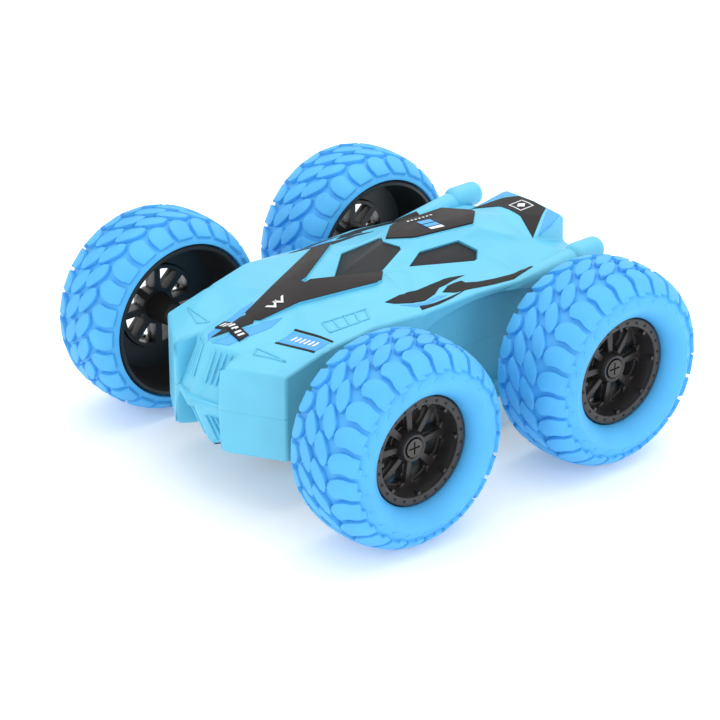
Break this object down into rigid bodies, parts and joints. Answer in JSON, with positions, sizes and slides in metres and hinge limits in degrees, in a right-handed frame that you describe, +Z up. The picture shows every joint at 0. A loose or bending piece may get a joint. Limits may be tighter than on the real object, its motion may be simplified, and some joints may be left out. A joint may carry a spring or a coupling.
{
  "type": "rc stunt car",
  "caption": "Double-sided four-wheel remote control stunt car with a mirrored two-shell body, a gear train down each side and large tyres on stub axles.",
  "frame": {"origin": "on the floor, under the middle of the four wheels' box", "axes": "+Z up, the car faces -Y, +X is its left side, +Z up from the floor"},
  "size_m": [0.1458, 0.139, 0.062],
  "materials": {
    "body_blue": "satin moulded ABS, light cyan",
    "tyre_blue": "matt soft rubber-like plastic, sky blue",
    "rim_black": "satin black moulded ABS",
    "trim_dark": "satin dark grey-brown",
    "steel": "bright zinc plated",
    "brass": "machined",
    "gear_white": "natural nylon",
    "frame_black": "matt black",
    "cell_green": "heat-shrink sleeve",
    "board_green": "solder mask"
  },
  "bodies": {
    "root": {"upper_shell": "body_blue", "lower_shell": "body_blue", "hood_panel_upper": "trim_dark", "windscreen_upper": "trim_dark", "side_window_left_upper": "trim_dark", "side_window_right_upper": "trim_dark", "hood_panel_lower": "trim_dark", "windscreen_lower": "trim_dark", "side_window_left_lower": "trim_dark", "side_window_right_lower": "trim_dark", "roof_panel": "trim_dark", "battery_door": "body_blue", "door_screw": "steel", "shell_screw_front_left": "steel", "bush_front_left": "brass", "shell_screw_front_right": "steel", "bush_front_right": "brass", "shell_screw_rear_left": "steel", "bush_rear_left": "brass", "shell_screw_rear_right": "steel", "bush_rear_right": "brass", "motor_left": "steel", "gear_frame_left": "frame_black", "motor_right": "steel", "gear_frame_right": "frame_black", "battery": "cell_green", "circuit_board": "board_green", "antenna_wire": "frame_black", "power_switch": "steel"},
    "wheel_front_left": {"tyre_front_left": "tyre_blue", "rim_front_left": "rim_black", "axle_front_left": "steel", "hub_screw_front_left": "steel", "axle_gear_front_left": "gear_white"},
    "wheel_front_right": {"tyre_front_right": "tyre_blue", "rim_front_right": "rim_black", "axle_front_right": "steel", "hub_screw_front_right": "steel", "axle_gear_front_right": "gear_white"},
    "wheel_rear_left": {"tyre_rear_left": "tyre_blue", "rim_rear_left": "rim_black", "axle_rear_left": "steel", "hub_screw_rear_left": "steel", "axle_gear_rear_left": "gear_white"},
    "wheel_rear_right": {"tyre_rear_right": "tyre_blue", "rim_rear_right": "rim_black", "axle_rear_right": "steel", "hub_screw_rear_right": "steel", "axle_gear_rear_right": "gear_white"},
    "idler_front_left": {"idler_front_left": "gear_white"},
    "idler_middle_left": {"idler_middle_left": "gear_white"},
    "idler_rear_left": {"idler_rear_left": "gear_white"},
    "cluster_left": {"cluster_gear_left": "gear_white"},
    "motor_shaft_left": {"motor_pinion_left": "brass"},
    "idler_front_right": {"idler_front_right": "gear_white"},
    "idler_middle_right": {"idler_middle_right": "gear_white"},
    "idler_rear_right": {"idler_rear_right": "gear_white"},
    "cluster_right": {"cluster_gear_right": "gear_white"},
    "motor_shaft_right": {"motor_pinion_right": "brass"},
    "switch_slider": {"switch_knob": "frame_black"}
  },
  "joints": [
    {"name": "wheel_rear_left_spin", "type": "hinge", "parent": "root", "child": "wheel_rear_left", "pos_m": [0.056, 0.0385, 0.031], "axis": [1, 0, 0], "continuous": true},
    {"name": "wheel_front_left_spin", "type": "hinge", "parent": "root", "child": "wheel_front_left", "pos_m": [0.056, -0.0385, 0.031], "axis": [1, 0, 0], "continuous": true},
    {"name": "idler_rear_left_spin", "type": "hinge", "parent": "root", "child": "idler_rear_left", "pos_m": [0.0196, 0.01925, 0.031], "axis": [1, 0, 0], "continuous": true},
    {"name": "idler_middle_left_spin", "type": "hinge", "parent": "root", "child": "idler_middle_left", "pos_m": [0.0196, 0, 0.031], "axis": [1, 0, 0], "continuous": true},
    {"name": "idler_front_left_spin", "type": "hinge", "parent": "root", "child": "idler_front_left", "pos_m": [0.0196, -0.01925, 0.031], "axis": [1, 0, 0], "continuous": true},
    {"name": "cluster_left_spin", "type": "hinge", "parent": "root", "child": "cluster_left", "pos_m": [0.0176, 0.00722, 0.0435], "axis": [1, 0, 0], "continuous": true},
    {"name": "motor_shaft_left_spin", "type": "hinge", "parent": "root", "child": "motor_shaft_left", "pos_m": [0.0145, 0.01632, 0.04157], "axis": [1, 0, 0], "continuous": true},
    {"name": "wheel_rear_right_spin", "type": "hinge", "parent": "root", "child": "wheel_rear_right", "pos_m": [-0.056, 0.0385, 0.031], "axis": [1, 0, 0], "continuous": true},
    {"name": "wheel_front_right_spin", "type": "hinge", "parent": "root", "child": "wheel_front_right", "pos_m": [-0.056, -0.0385, 0.031], "axis": [1, 0, 0], "continuous": true},
    {"name": "idler_rear_right_spin", "type": "hinge", "parent": "root", "child": "idler_rear_right", "pos_m": [-0.0196, 0.01925, 0.031], "axis": [1, 0, 0], "continuous": true},
    {"name": "idler_middle_right_spin", "type": "hinge", "parent": "root", "child": "idler_middle_right", "pos_m": [-0.0196, 0, 0.031], "axis": [1, 0, 0], "continuous": true},
    {"name": "idler_front_right_spin", "type": "hinge", "parent": "root", "child": "idler_front_right", "pos_m": [-0.0196, -0.01925, 0.031], "axis": [1, 0, 0], "continuous": true},
    {"name": "cluster_right_spin", "type": "hinge", "parent": "root", "child": "cluster_right", "pos_m": [-0.0176, -0.00722, 0.0435], "axis": [1, 0, 0], "continuous": true},
    {"name": "motor_shaft_right_spin", "type": "hinge", "parent": "root", "child": "motor_shaft_right", "pos_m": [-0.0145, -0.01632, 0.04157], "axis": [1, 0, 0], "continuous": true},
    {"name": "switch_slide", "type": "slide", "parent": "root", "child": "switch_slider", "axis": [1, 0, 0], "range_m": [0, 0.0024]}
  ],
  "couplings": [
    {"joint": "wheel_front_left_spin", "follows": "wheel_rear_left_spin", "ratio": 1},
    {"joint": "idler_rear_left_spin", "follows": "wheel_rear_left_spin", "ratio": -1},
    {"joint": "idler_middle_left_spin", "follows": "wheel_rear_left_spin", "ratio": 1},
    {"joint": "idler_front_left_spin", "follows": "wheel_rear_left_spin", "ratio": -1},
    {"joint": "cluster_left_spin", "follows": "wheel_rear_left_spin", "ratio": -2},
    {"joint": "motor_shaft_left_spin", "follows": "wheel_rear_left_spin", "ratio": 4.8889},
    {"joint": "wheel_front_right_spin", "follows": "wheel_rear_right_spin", "ratio": 1},
    {"joint": "idler_rear_right_spin", "follows": "wheel_rear_right_spin", "ratio": -1},
    {"joint": "idler_middle_right_spin", "follows": "wheel_rear_right_spin", "ratio": 1},
    {"joint": "idler_front_right_spin", "follows": "wheel_rear_right_spin", "ratio": -1},
    {"joint": "cluster_right_spin", "follows": "wheel_rear_right_spin", "ratio": -2},
    {"joint": "motor_shaft_right_spin", "follows": "wheel_rear_right_spin", "ratio": 4.8889}
  ]
}
